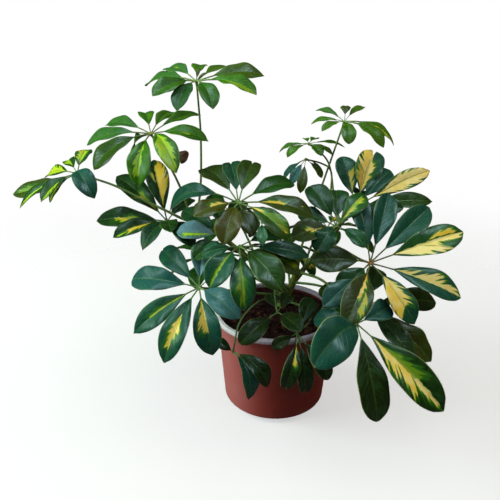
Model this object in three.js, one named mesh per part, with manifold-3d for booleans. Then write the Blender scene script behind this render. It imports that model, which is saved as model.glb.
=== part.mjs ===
import * as THREE from "three";
import { mergeVertices } from "three/addons/utils/BufferGeometryUtils.js";
import Module from "manifold-3d";

// Potted umbrella plant. Millimetres, +Z up, the origin at the middle of the pot's base.
// +X is to the plant's right and -Y is its front.

// ---- pot ----
const potHeight = 138;
const potBaseRadius = 61;
const potHeelRadius = 71.5; // where the bevel at the foot ends
const potHeelHeight = 8;
const potTopRadius = 80.5; // body just under the rim
const potWall = 2.6;
const rimRadius = 84;
const rimHeight = 8;
const rimInnerRadius = 78;
const rimChamfer = 1.5;
const rimDraft = 0.4; // how much the mouth narrows down to the foot of the rim
const drainHoles = 6;
const drainRadius = 4.5;
const drainCircle = 44;
const drainSides = 8;
const potSides = 40;

// ---- soil ----
const soilTop = 130; // at the wall
const soilCrown = 1.5; // how much higher the middle stands
const soilFootInset = 1;
const seatGap = 0.3; // clearance between pieces that touch
const soilSides = 30;

// ---- leaflets, petioles and stem ----
const leafThickness = 1.3;
const stalkRadius = 0.8; // the little stalk of a leaflet
const petioleBaseRadius = 1.9;
const petioleTopRadius = 1.3;
const petioleSides = 5;
const petioleSteps = 6;
const hubRadius = 2.6;
const stemSides = 8;
const stalkShare = 0.22; // part of a leaflet's reach that is bare stalk, unless its leaf says otherwise
const bladeFold = 0.16; // rise of the blade's edges over its midrib, per half width
const usualBow = 0.1; // how far a leaflet arches, as a share of its reach
const backBow = 0.12;
const backLift = 6; // degrees by which the leaflets at the back rise and fall around their ring
const backReach = 0.1; // share by which their reach varies

// Outline of a blade: place along the blade, and half width as a share of the widest.
const bladeOutline = [
  [0.0, 0.1],
  [0.25, 0.72],
  [0.62, 1.0],
  [0.9, 0.62],
];

const wasm = await Module();
wasm.setup();

const point = (values) => new THREE.Vector3(...values);

// Unit vector with a compass azimuth (0 = +X, 90 = +Y) and an elevation, both in degrees.
function heading(azimuth, elevation) {
  const a = THREE.MathUtils.degToRad(azimuth);
  const e = THREE.MathUtils.degToRad(elevation);
  return new THREE.Vector3(Math.cos(e) * Math.cos(a), Math.cos(e) * Math.sin(a), Math.sin(e));
}

// ---- solids ----
function solidFrom(geometry) {
  const bare = geometry.index ? geometry.toNonIndexed() : geometry.clone();
  bare.deleteAttribute("normal");
  bare.deleteAttribute("uv");
  const merged = mergeVertices(bare, 1e-4);
  return new wasm.Manifold(
    new wasm.Mesh({
      numProp: 3,
      vertProperties: new Float32Array(merged.attributes.position.array),
      triVerts: new Uint32Array(merged.index.array),
    }),
  );
}

function geometryFrom(solid) {
  const mesh = solid.getMesh();
  const geometry = new THREE.BufferGeometry();
  geometry.setAttribute("position", new THREE.BufferAttribute(mesh.vertProperties, 3));
  geometry.setIndex(new THREE.BufferAttribute(mesh.triVerts, 1));
  geometry.computeVertexNormals();
  return geometry;
}

// Closed skin over a row of rings with equal counts. Each ring runs anticlockwise seen from ahead.
function loft(rings, tip = null) {
  const corners = [];
  const triangle = (a, b, c) => corners.push(...a, ...b, ...c);
  const count = rings[0].length;
  for (let r = 0; r + 1 < rings.length; r += 1) {
    for (let i = 0; i < count; i += 1) {
      const next = (i + 1) % count;
      triangle(rings[r][i], rings[r][next], rings[r + 1][next]);
      triangle(rings[r][i], rings[r + 1][next], rings[r + 1][i]);
    }
  }
  const last = rings[rings.length - 1];
  for (let i = 1; i + 1 < count; i += 1) {
    triangle(rings[0][0], rings[0][i + 1], rings[0][i]);
    if (!tip) triangle(last[0], last[i], last[i + 1]);
  }
  if (tip) {
    last.forEach((corner, i) => triangle(corner, last[(i + 1) % count], tip));
  }
  const geometry = new THREE.BufferGeometry();
  geometry.setAttribute("position", new THREE.Float32BufferAttribute(corners, 3));
  return solidFrom(geometry);
}

// Round tube through hand-set points, tapering from one radius to another. Both of its ends can be
// carried on past the end points.
function taperedTube(points, startRadius, endRadius, sides, steps, overrun = 0) {
  const curve = new THREE.CatmullRomCurve3(points.map(point));
  const frames = curve.computeFrenetFrames(steps, false);
  const rings = [];
  for (let s = 0; s <= steps; s += 1) {
    const centre = curve.getPointAt(s / steps);
    const radius = THREE.MathUtils.lerp(startRadius, endRadius, s / steps);
    const across = frames.normals[s];
    const along = frames.tangents[s];
    const over = along.clone().cross(across);
    if (s === 0) centre.addScaledVector(along, -overrun);
    if (s === steps) centre.addScaledVector(along, overrun);
    rings.push(
      Array.from({ length: sides }, (_, i) => {
        const angle = (2 * Math.PI * i) / sides;
        return centre
          .clone()
          .addScaledVector(across, radius * Math.cos(angle))
          .addScaledVector(over, radius * Math.sin(angle));
      }),
    );
  }
  return loft(rings);
}

// ---- stem ----
const stemRuns = [
  {
    points: [[7, 20, 100], [9, 19, 130], [18, 21, 150], [27, 22, 172], [31, 25, 205]],
    radii: [6.5, 4],
    steps: 8,
  },
  { points: [[18, 21, 152], [-25, 24, 192], [-75, 16, 240], [-113, 5, 269]], radii: [4, 3], steps: 8 },
  { points: [[24, 22, 165], [48, 22, 200], [75, 22, 235], [88, 22, 258]], radii: [4, 3], steps: 6 },
];

// The stem, or a space around it that is larger by some clearance all over.
function makeStem(clearance) {
  return stemRuns
    .map(({ points, radii, steps }) =>
      taperedTube(points, radii[0] + clearance, radii[1] + clearance, stemSides, steps, clearance))
    .reduce((whole, run) => whole.add(run));
}

// ---- leaves ----
// A leaflet row: azimuth, elevation and reach of its tip from the hub, its width, then how far it
// bows out (as a share of its reach) and how far it rolls about its own length, in degrees.
function makeLeaflet(hub, facing, bareShare, row) {
  const [azimuth, elevation, reach, width, bow = usualBow, roll = 0] = row;
  const chord = heading(azimuth, elevation);
  const upper = heading(...facing);
  upper.addScaledVector(chord, -upper.dot(chord)).normalize();
  upper.applyAxisAngle(chord, THREE.MathUtils.degToRad(roll));
  const tip = hub.clone().addScaledVector(chord, reach);
  const crown = hub.clone().addScaledVector(chord, reach / 2).addScaledVector(upper, 2 * bow * reach);
  const curve = new THREE.QuadraticBezierCurve3(hub, crown, tip);
  const side = upper.clone().cross(chord).normalize();

  const ring = (t, halfWidth, halfDepth, fold) => {
    const centre = curve.getPoint(t);
    const ahead = curve.getTangent(t);
    const normal = ahead.clone().cross(side).normalize();
    const corner = (across, rise) =>
      centre.clone().addScaledVector(side, across).addScaledVector(normal, rise);
    return [
      corner(halfWidth, fold * halfWidth),
      corner(0, halfDepth),
      corner(-halfWidth, fold * halfWidth),
      corner(0, -halfDepth),
    ];
  };

  const rings = [ring(0, stalkRadius, stalkRadius, 0)];
  for (const [place, share] of bladeOutline) {
    const t = bareShare + (1 - bareShare) * place;
    rings.push(ring(t, (share * width) / 2, leafThickness / 2, bladeFold));
  }
  return loft(rings, tip);
}

// Even ring of leaflets, for the leaves at the back.
function evenLeaflets(count, firstAzimuth, elevation, reach, width) {
  return Array.from({ length: count }, (_, i) => [
    firstAzimuth + (360 * i) / count,
    elevation + backLift * Math.sin(2 * i),
    reach * (1 - backReach * Math.cos(3 * i)),
    width,
    backBow,
  ]);
}

const leaves = [
  {
    name: "leaf_far_left", hub: [-250, 0, 329], facing: [-100, 60],
    petiole: [[-98, 9, 256], [-122, -6, 272], [-143, -8, 284], [-170, -4, 296], [-205, 1, 313]],
    leaflets: [
      [-54, -18, 60, 27, 0.3], [84, 30, 46, 24], [120, 10, 50, 18], [150, -10, 62, 26],
      [-140, -29, 57, 24, 0.15], [-145, -38, 50, 12, 0.15], [177, -17, 93, 30, -0.04], [-172, -28, 88, 18, 0.1],
    ],
  },
  {
    name: "leaf_upper_left", hub: [-154, -4, 378], facing: [-90, 65],
    petiole: [[-113, 5, 267], [-118, 8, 290], [-128, 4, 322], [-145, -2, 360]],
    leaflets: [
      [150, 5, 75, 26], [175, -9, 84, 28], [-155, -27, 81, 32, 0.15], [120, -25, 80, 26, 0.1, -40],
      [-100, -42, 75, 30, 0.2], [-60, -22, 83, 26, 0.2], [-15, -3, 74, 26], [35, 14, 74, 24],
      [72, 18, 65, 22], [105, 15, 70, 22],
    ],
  },
  {
    name: "leaf_top", hub: [-95, -22, 439], facing: [-90, 75],
    petiole: [[-107, 7, 264], [-99, 7, 300], [-95, 4, 372], [-95, -10, 415]],
    leaflets: [
      [127, 10, 70, 26, 0.1, -10], [149, -4, 76, 28, 0.1, -12], [-137, -11, 60, 26, 0.12, -15], [-110, -26, 58, 24, 0.15],
      [-65, -24, 58, 24, 0.15], [-22, -8, 74, 33], [12, 4, 80, 27, 0.1, 20], [50, 12, 64, 22], [90, 15, 60, 20],
    ],
  },
  {
    name: "leaf_left", hub: [-141, -6, 268], facing: [-90, 55], bareShare: 0.15,
    petiole: [[-108, 6, 264], [-126, -1, 262]],
    leaflets: [
      [155, 34, 93, 32], [116, 54, 88, 32], [-171, 5, 88, 33, 0.05], [-150, -6, 72, 24],
      [-110, -12, 67, 24, 0.15], [-50, -13, 65, 26, 0.15], [-75, 5, 50, 24], [60, 18, 58, 26],
    ],
  },
  {
    name: "leaf_low_left", hub: [-95, -83, 212], facing: [-95, 45], bareShare: 0.17,
    petiole: [[16, 20, 148], [-25, -20, 172], [-62, -58, 196]],
    leaflets: [
      [165, 2, 88, 36], [135, 22, 78, 34], [84, 47, 64, 28], [-155, -25, 93, 34, 0.12],
      [-120, -38, 97, 36, 0.15], [-69, -47, 82, 36, 0.18], [-44, -9, 72, 34, 0.15], [30, 25, 60, 24],
    ],
  },
  {
    name: "leaf_centre_high", hub: [-48, -74, 313], facing: [-90, 60],
    petiole: [[28, 22, 180], [8, 2, 235], [-28, -42, 288]],
    leaflets: [
      [170, -10, 85, 30, 0.3], [126, 21, 78, 34, 0.12], [-145, -3, 58, 28], [100, 32, 67, 26],
      [72, 34, 66, 28], [30, 11, 77, 30], [2, -9, 88, 30], [-30, -25, 72, 27, 0.15],
      [-106, -29, 62, 30, 0.2], [-65, -35, 45, 22],
    ],
  },
  {
    name: "leaf_centre", hub: [-47, -92, 268], facing: [-90, 50],
    petiole: [[20, 20, 158], [-8, -30, 205], [-38, -75, 250]],
    leaflets: [
      [-125, -30, 62, 34, 0.2], [-84, -43, 76, 32, 0.18], [-50, -19, 77, 34, 0.15],
      [5, -26, 78, 28], [6, -11, 84, 30], [30, 6, 60, 24], [-178, -12, 44, 24],
    ],
  },
  {
    name: "leaf_left_inner", hub: [-64, -51, 263], facing: [-100, 55],
    petiole: [[10, 22, 160], [-25, -5, 205], [-55, -40, 245]],
    leaflets: [
      [180, 8, 60, 28], [150, 20, 70, 28], [-150, -25, 48, 24], [110, 35, 70, 26], [70, 25, 70, 26],
    ],
  },
  {
    name: "leaf_top_right", hub: [82, 22, 389], facing: [-90, 75],
    petiole: [[31, 25, 203], [45, 26, 255], [60, 25, 310]],
    leaflets: [
      [140, 15, 44, 16], [165, -5, 42, 16], [-150, -13, 36, 15], [-88, -30, 42, 20, 0.2],
      [-32, -26, 60, 30, 0.15], [0, -23, 72, 27, 0.15], [80, 35, 28, 14, 0.3], [45, 20, 45, 14],
    ],
  },
  {
    name: "leaf_new_upper", hub: [40, 32, 360], facing: [-90, 80],
    petiole: [[86, 24, 256], [80, 46, 284], [76, 74, 320], [58, 42, 346]],
    leaflets: [
      [170, -17, 40, 17], [-150, -22, 36, 17], [-60, -20, 30, 16], [-35, -16, 36, 13],
      [0, -5, 48, 13], [100, 10, 20, 10], [60, 4, 30, 12],
    ],
  },
  {
    name: "leaf_new_lower", hub: [36, 22, 342], facing: [-90, 70],
    petiole: [[86, 20, 254], [74, 34, 282], [76, 60, 316], [57, 31, 335]],
    leaflets: [
      [180, -42, 38, 14], [-140, -50, 38, 14], [-105, -55, 46, 14], [-20, -44, 32, 14],
      [50, -30, 35, 12], [120, -40, 40, 14],
    ],
  },
  {
    name: "leaf_right_back", hub: [104, 20, 279], facing: [-90, 40],
    petiole: [[87, 22, 254], [97, 22, 266]],
    leaflets: [
      [106, 48, 78, 34, 0.05], [60, 47, 90, 40, 0.05], [38, 31, 80, 32], [12, 25, 112, 32, 0.05],
      [3, 3, 106, 26], [-25, 5, 62, 26], [72, 8, 60, 28],
    ],
  },
  {
    name: "leaf_right_upper", hub: [69, -46, 275], facing: [-90, 50],
    petiole: [[48, 22, 198], [52, 0, 225], [64, -30, 258]],
    leaflets: [
      [38, 32, 60, 26], [85, 38, 56, 32, 0.08], [132, 44, 62, 34], [165, 15, 50, 26],
      [-160, -5, 60, 34], [-130, -25, 46, 28, 0.25], [-40, -20, 45, 22, 0.15],
    ],
  },
  {
    name: "leaf_right", hub: [109, -63, 235], facing: [-80, 45],
    petiole: [[70, 22, 228], [88, -5, 228], [102, -40, 230]],
    leaflets: [
      [102, 53, 87, 32, 0.05], [63, 51, 95, 34, 0.05], [29, 32, 108, 37, 0.05], [9, 15, 123, 39, 0.05],
      [-7, -18, 119, 39, 0.05], [-47, -40, 88, 36], [-118, -24, 98, 36, 0.12], [-175, 6, 72, 36],
      [-145, -28, 58, 34, 0.15], [-141, -23, 84, 30, 0.05],
    ],
  },
  {
    name: "leaf_low_right", hub: [84, -127, 189], facing: [-80, 40], bareShare: 0.14,
    petiole: [[36, 22, 183], [58, -30, 196], [76, -88, 197]],
    leaflets: [
      [-131, -10, 84, 46, 0.19, -8], [-72, -56, 108, 43, 0.08], [-30, -36, 132, 45, 0.06],
      [148, -10, 54, 26], [112, -13, 54, 26], [38, 2, 62, 28],
    ],
  },
  {
    name: "leaf_right_low_back", hub: [104, -64, 179], facing: [-85, 50],
    petiole: [[26, 22, 168], [60, -15, 180], [88, -45, 180]],
    leaflets: [
      [5, 0, 97, 34], [-30, -30, 106, 36], [-48, -28, 88, 30], [-175, -8, 52, 30], [150, 5, 60, 28],
      [60, 20, 70, 30],
    ],
  },
  {
    name: "leaf_front_left_small", hub: [-56, -88, 126], facing: [-110, 40], bareShare: 0.1,
    petiole: [[9, 19, 138], [-22, -30, 166], [-48, -72, 158]],
    leaflets: [
      [165, 35, 28, 14], [-60, -50, 62, 27, 0.28, -45], [-22, -38, 62, 25, 0.28, -30],
    ],
  },
  {
    name: "leaf_front_mid_small", hub: [0, -50, 160], facing: [-90, 50],
    petiole: [[17, 20, 152], [2, -10, 180], [-3, -32, 178]],
    leaflets: [[-134, -13, 70, 28], [-60, 0, 52, 26], [60, 15, 38, 20], [110, 25, 32, 18]],
  },
  {
    name: "leaf_front_right_small", hub: [23, -79, 147], facing: [-80, 40],
    petiole: [[10, 19, 142], [38, -28, 154], [42, -58, 154]],
    leaflets: [
      [-160, -22, 36, 16, 0.2], [-108, -45, 70, 22, 0.2], [-78, -56, 73, 22, 0.18],
      [-42, -42, 68, 24, 0.15], [60, 38, 52, 25],
    ],
  },
  {
    name: "leaf_centre_young", hub: [-22, -99, 299], facing: [-90, 50],
    petiole: [[30, 24, 194], [14, -18, 252], [-4, -77, 289]],
    leaflets: [[-91, -37, 30, 13], [-10, -35, 24, 9]],
  },
  {
    name: "leaf_back_left", hub: [-58, 98, 244], facing: [90, 75],
    petiole: [[-20, 24, 187], [-40, 62, 222]],
    leaflets: evenLeaflets(7, 90, -10, 76, 30),
  },
  {
    name: "leaf_back_right", hub: [80, 92, 224], facing: [80, 75],
    petiole: [[40, 22, 188], [55, 60, 210]],
    leaflets: evenLeaflets(7, 60, -8, 78, 32),
  },
  {
    name: "leaf_back_middle", hub: [12, 120, 184], facing: [90, 70],
    petiole: [[22, 22, 160], [20, 70, 178]],
    leaflets: evenLeaflets(8, 80, -12, 78, 30),
  },
  {
    name: "leaf_back_low_left", hub: [-92, 54, 192], facing: [130, 70],
    petiole: [[15, 21, 147], [-40, 42, 172]],
    leaflets: evenLeaflets(7, 105, -8, 70, 30),
  },
];

function makeLeaf({ hub, facing, petiole, leaflets, bareShare = stalkShare }, fatStem) {
  const centre = point(hub);
  const knob = new THREE.IcosahedronGeometry(hubRadius, 0).translate(...hub);
  const stalk = taperedTube(
    [...petiole, hub], petioleBaseRadius, petioleTopRadius, petioleSides, petioleSteps);
  return leaflets
    .map((row) => makeLeaflet(centre, facing, bareShare, row))
    .reduce((whole, leaflet) => whole.add(leaflet), solidFrom(knob).add(stalk))
    .subtract(fatStem);
}

// ---- pot and soil ----
function makePot() {
  const bodyTop = potHeight - rimHeight;
  const innerHeel = potHeelRadius - potWall;
  const profile = [
    [0, 0], [potBaseRadius, 0], [potHeelRadius, potHeelHeight], [potTopRadius, bodyTop],
    [rimRadius, bodyTop + rimChamfer], [rimRadius, potHeight - rimChamfer],
    [rimRadius - rimChamfer, potHeight], [rimInnerRadius, potHeight], [rimInnerRadius - rimDraft, bodyTop],
    [innerHeel, potHeelHeight + potWall], [potBaseRadius - potWall, potWall], [0, potWall],
  ];
  const shell = new THREE.LatheGeometry(profile.map((p) => new THREE.Vector2(...p)), potSides);
  let pot = solidFrom(shell.rotateX(Math.PI / 2));
  for (let i = 0; i < drainHoles; i += 1) {
    const angle = (2 * Math.PI * i) / drainHoles;
    const drill = new THREE.CylinderGeometry(drainRadius, drainRadius, 4 * potWall, drainSides);
    drill.rotateX(Math.PI / 2);
    drill.translate(drainCircle * Math.cos(angle), drainCircle * Math.sin(angle), 0);
    pot = pot.subtract(solidFrom(drill));
  }
  return pot;
}

function makeSoil(fatStem) {
  const floor = potWall + seatGap;
  const profile = [
    [0, floor], [potBaseRadius - potWall - soilFootInset, floor],
    [potHeelRadius - potWall - 2 * seatGap, potHeelHeight + potWall + seatGap],
    [rimInnerRadius - rimDraft - 2 * seatGap, soilTop], [0, soilTop + soilCrown],
  ];
  const plug = new THREE.LatheGeometry(profile.map((p) => new THREE.Vector2(...p)), soilSides);
  return solidFrom(plug.rotateX(Math.PI / 2)).subtract(fatStem);
}

// ---- model ----
const potPlastic = { color: 0x9c4038, roughness: 0.45, metalness: 0 };
const darkSoil = { color: 0x1c1110, roughness: 0.95, metalness: 0 };
const greenStem = { color: 0x6b7a3c, roughness: 0.6, metalness: 0 };
const leafGreen = { color: 0x1f5a2c, roughness: 0.35, metalness: 0 };

const plant = new THREE.Group();

function place(name, solid, finish) {
  const mesh = new THREE.Mesh(geometryFrom(solid), new THREE.MeshStandardMaterial(finish));
  mesh.name = name;
  plant.add(mesh);
}

const fatStem = makeStem(seatGap);
place("pot", makePot(), potPlastic);
place("soil", makeSoil(fatStem), darkSoil);
place("stem", makeStem(0), greenStem);
for (const leaf of leaves) {
  place(leaf.name, makeLeaf(leaf, fatStem), leafGreen);
}

export default plant;
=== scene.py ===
import math
import random

import bmesh
import bpy
import numpy as np
from mathutils import Matrix, Vector, noise


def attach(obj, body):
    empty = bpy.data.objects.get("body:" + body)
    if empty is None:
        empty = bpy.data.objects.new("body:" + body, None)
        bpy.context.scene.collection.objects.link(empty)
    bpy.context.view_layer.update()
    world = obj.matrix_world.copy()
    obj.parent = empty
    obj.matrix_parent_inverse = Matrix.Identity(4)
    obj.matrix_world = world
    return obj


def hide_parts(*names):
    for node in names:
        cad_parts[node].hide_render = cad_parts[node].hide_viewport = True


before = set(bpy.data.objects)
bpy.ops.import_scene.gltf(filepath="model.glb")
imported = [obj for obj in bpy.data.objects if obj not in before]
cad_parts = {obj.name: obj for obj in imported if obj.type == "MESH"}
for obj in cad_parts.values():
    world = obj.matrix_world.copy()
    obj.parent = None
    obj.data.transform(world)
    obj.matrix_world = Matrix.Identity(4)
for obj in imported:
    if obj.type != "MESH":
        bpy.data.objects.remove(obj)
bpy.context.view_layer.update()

mm = 0.001
scene = bpy.context.scene
scene.view_settings.view_transform = "Standard"


def addObject(name, data):
    thing = bpy.data.objects.new(name, data)
    scene.collection.objects.link(thing)
    return thing


photoCamera = {"place": (-0.035, -0.612, 0.477), "tilt": 67.7, "lens": 36, "sensor": 36}


def makeCamera():
    data = bpy.data.cameras.new("photoCamera")
    data.lens = photoCamera["lens"]
    data.sensor_width = photoCamera["sensor"]
    data.dof.use_dof = False
    camera = addObject("photoCamera", data)
    camera.location = photoCamera["place"]
    camera.rotation_euler = (math.radians(photoCamera["tilt"]), 0, 0)
    scene.camera = camera


# place, width in metres, power in watts and colour; a glint shows only as gloss, and a wash only lights
studioLights = {
    "windowWash": ((-1.55, -0.15, 1.05), 1.2, 44, (0.88, 1.0, 0.94)),
    "roomWash": ((1.35, -0.3, 1.6), 1.2, 13, (1.0, 0.9, 0.72)),
    "frontWash": ((0.3, -1.1, 1.7), 1.2, 6, (0.95, 0.97, 1.0)),
    "skyWash": ((0.0, 0.0, 2.1), 1.2, 7, (1.0, 1.0, 0.9)),
    "leftGlint": ((-0.57, -0.83, 1.95), 0.7, 8, (0.6, 0.9, 1.0)),
    "aboveGlint": ((-0.52, 0.06, 2.15), 0.6, 6, (0.6, 0.9, 1.0)),
    "rightGlint": ((0.89, -0.56, 1.92), 0.7, 10, (0.62, 0.92, 1.0)),
    "windowGlint": ((-1.5, -0.7, 0.98), 0.6, 6, (0.7, 0.95, 1.0)),
}
lightAim = (0, 0, 0.22)
surroundings = {
    "seen": (1.0, 1.0, 1.0), "zenith": (0.02, 0.03, 0.035), "horizon": (0.01, 0.01, 0.01), "rise": 1.4,
}


def makeLights():
    for name, (place, width, power, colour) in studioLights.items():
        data = bpy.data.lights.new(name, "AREA")
        data.shape = "SQUARE"
        data.size = width
        data.energy = power
        data.color = colour
        light = addObject(name, data)
        light.location = place
        light.rotation_euler = (Vector(lightAim) - Vector(place)).to_track_quat("-Z", "Y").to_euler()
        light.visible_diffuse = not name.endswith("Glint")
        light.visible_glossy = not name.endswith("Wash")


def makeWorld():
    world = bpy.data.worlds.new("softRoom")
    world.use_nodes = True
    tree = world.node_tree
    tree.nodes.clear()
    height = splitVector(tree, addNode(tree, "ShaderNodeTexCoord").outputs["Generated"])[2]
    around = mixColour(height * surroundings["rise"], surroundings["horizon"], surroundings["zenith"])
    lit = addNode(tree, "ShaderNodeBackground", {"Color": around}).outputs[0]
    seen = addNode(tree, "ShaderNodeBackground", {"Color": surroundings["seen"]}).outputs[0]
    both = addNode(tree, "ShaderNodeMixShader", {0: cameraRay(tree), 1: lit, 2: seen})
    addNode(tree, "ShaderNodeOutputWorld", {0: both.outputs[0]})
    scene.world = world


# the floor thins out towards its edge, so that it runs into the pale surroundings without a line
paleFloor = {
    "size": 3.0, "colour": (0.86, 0.86, 0.87), "bounce": (0.24, 0.22, 0.2), "solid": 0.45, "fadeFrom": 0.25,
    "fadeTo": 1.3, "roughness": 0.8, "gloss": 0.1,
}


def makeFloor():
    size = paleFloor["size"]
    mesh = bpy.data.meshes.new("floor")
    corners = [(-size, -size, 0), (size, -size, 0), (size, size, 0), (-size, size, 0)]
    mesh.from_pydata(corners, [], [(0, 1, 2, 3)])
    floor = addObject("floor", mesh)
    paint, tree = newMaterial("floorPaint")
    away = addNode(tree, "ShaderNodeVectorMath", {0: objectPlace(tree)}, operation="LENGTH").outputs["Value"]
    setShader(paint, {
        "Base Color": mixColour(cameraRay(tree), paleFloor["bounce"], paleFloor["colour"]),
        "Alpha": remap(shaderValue(away), paleFloor["fadeFrom"], paleFloor["fadeTo"], paleFloor["solid"], 0),
        "Roughness": paleFloor["roughness"], "Specular IOR Level": paleFloor["gloss"]})
    mesh.materials.append(paint)


class shaderValue:
    # an output in a shader tree; sums and products of them add Math nodes to that tree

    def __init__(self, socket):
        self.socket = socket
        self.tree = socket.id_data

    def math(self, operation, *others):
        inputs = dict(enumerate((self, *others)))
        return shaderValue(addNode(self.tree, "ShaderNodeMath", inputs, operation=operation).outputs[0])

    def __add__(self, other):
        return self.math("ADD", other)

    def __sub__(self, other):
        return self.math("SUBTRACT", other)

    def __mul__(self, other):
        return self.math("MULTIPLY", other)

    def __abs__(self):
        return self.math("ABSOLUTE")


def feed(socket, value):
    if isinstance(value, shaderValue):
        value = value.socket
    if isinstance(value, bpy.types.NodeSocket):
        socket.id_data.links.new(value, socket)
    elif socket.type == "RGBA" and len(value) == 3:
        socket.default_value = (*value, 1)
    else:
        socket.default_value = value


def addNode(tree, kind, inputs={}, **settings):
    node = tree.nodes.new(kind)
    for name, value in settings.items():
        setattr(node, name, value)
    for label, value in inputs.items():
        feed(node.inputs[label], value)
    return node


def mixColour(share, first, second):
    given = (share, first, second)
    tree = next(value.tree for value in given if isinstance(value, shaderValue))
    inputs = dict(zip((0, 6, 7), given))  # the factor and the two colours
    return shaderValue(addNode(tree, "ShaderNodeMix", inputs, data_type="RGBA", clamp_factor=True).outputs[2])


def remap(value, low, high, newLow=0.0, newHigh=1.0, kind="SMOOTHSTEP"):
    inputs = dict(enumerate((value, low, high, newLow, newHigh)))
    return shaderValue(addNode(value.tree, "ShaderNodeMapRange", inputs, interpolation_type=kind).outputs[0])


def splitVector(tree, vector):
    return [shaderValue(part) for part in addNode(tree, "ShaderNodeSeparateXYZ", {0: vector}).outputs]


def cameraRay(tree):
    return shaderValue(addNode(tree, "ShaderNodeLightPath").outputs["Is Camera Ray"])


def objectPlace(tree):
    return addNode(tree, "ShaderNodeTexCoord").outputs["Object"]


def readAttribute(tree, name):
    return splitVector(tree, addNode(tree, "ShaderNodeAttribute", attribute_name=name).outputs["Vector"])


def newMaterial(name):
    material = bpy.data.materials.new(name)
    material.use_nodes = True
    return material, material.node_tree


def setShader(material, values, height=None, strength=1, distance=1):
    # values and colours for the shader, and a height with its strength and depth in metres for its bump
    shader = material.node_tree.nodes["Principled BSDF"]
    for label, value in values.items():
        feed(shader.inputs[label], value)
    if height:
        inputs = {"Height": height, "Strength": strength, "Distance": distance}
        bump = addNode(material.node_tree, "ShaderNodeBump", inputs)
        feed(shader.inputs["Normal"], bump.outputs[0])


def finishMaterial(material, finish, mottle, colour, height, dust=0):
    grainShare, base = finish["rough"]
    rough = mottle["Grain"] * grainShare + base + dust
    look = {"Base Color": colour, "Roughness": rough, **finish["shader"]}
    setShader(material, look, height, *finish["bump"])
    return material


def tint(colour):
    # screen colour to the linear one that nodes take
    return tuple(((c / 255 + 0.055) / 1.055) ** 2.4 if c > 10 else c / 3294.6 for c in colour)


def coverWith(colour, paints, shares):
    # lays paints over a colour one after another, each by its share
    for label, share in shares.items():
        colour = mixColour(share, colour, tint(paints[label]))
    return colour


def newGroup(name, inputs, outputs, kind="NodeSocketFloat"):
    group = bpy.data.node_groups.new(name, "ShaderNodeTree")
    for label in inputs:
        group.interface.new_socket(name=label, in_out="INPUT", socket_type="NodeSocketFloat")
    for label in outputs:
        group.interface.new_socket(name=label, in_out="OUTPUT", socket_type=kind)
    given = addNode(group, "NodeGroupInput").outputs
    return [shaderValue(given[label]) for label in inputs], addNode(group, "NodeGroupOutput").inputs


def useGroup(tree, name, **values):
    node = addNode(tree, "ShaderNodeGroup", values, node_tree=bpy.data.node_groups[name])
    return {output.name: shaderValue(output) for output in node.outputs}


# a pale patch: how far its fingers lean, how many broad waves, fingers and nicks go on a blade, how deep
# they cut, and how soft its ends are, in blade lengths
patchShape = {
    "lean": 0.3, "waves": 6.0, "fingers": 14.0, "fingerDepth": 0.36, "nicks": 60.0, "nickDepth": 0.1,
    "teeth": 1.45, "teethBase": -1.25, "opening": 0.12, "closing": 0.16, "wander": 0.12, "wanders": 13.0,
    "ragged": 0.6, "loose": 0.8, "fringeLoose": 0.35, "fingerBand": (0.38, 0.62), "anchorBlur": 0.02,
    "calm": (0.75, 1.05, 1, 0.35), "edgeFibre": (0.2, 13.0), "looseFibre": (0.12, 11.0),
    "leastSpread": 0.01, "leastReach": 0.02,
}
# how far behind its anchor line each layer of a patch starts, and between which distances its edge fades
patchLayers = {"Mask": (-0.06, -0.015, 0.02), "Fringe": (-0.05, -0.10, -0.03), "Zone": (-0.12, -0.30, -0.24)}
veinShape = {
    "lean": 0.26, "bend": 1.3, "perSide": 11, "line": 0.1, "fade": (0.97, 0.55), "midrib": (0.075, 0.02),
    "margin": (0.935, 0.985), "tip": (0.975, 0.992), "sectorFibre": (0.14, 9.0), "blotch": (0.03, 0.06),
}


def wave(value, count, shift):
    inputs = {"W": value * count + shift, "Scale": 1, "Detail": 1}
    return noiseOf(value.tree, inputs, noise_dimensions="1D")


def noiseOf(tree, inputs, **settings):
    return shaderValue(addNode(tree, "ShaderNodeTexNoise", inputs, **settings).outputs["Fac"])


def fibre(across, vein, shift, stretch, scale):
    # noise drawn out along the side veins, centred on nothing
    tree = across.tree
    place = addNode(tree, "ShaderNodeCombineXYZ", {0: across * stretch, 1: vein, 2: shift * 0.31}).outputs[0]
    return noiseOf(tree, {"Vector": place, "Scale": scale, "Detail": 3, "Roughness": 0.55}) - 0.5


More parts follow.
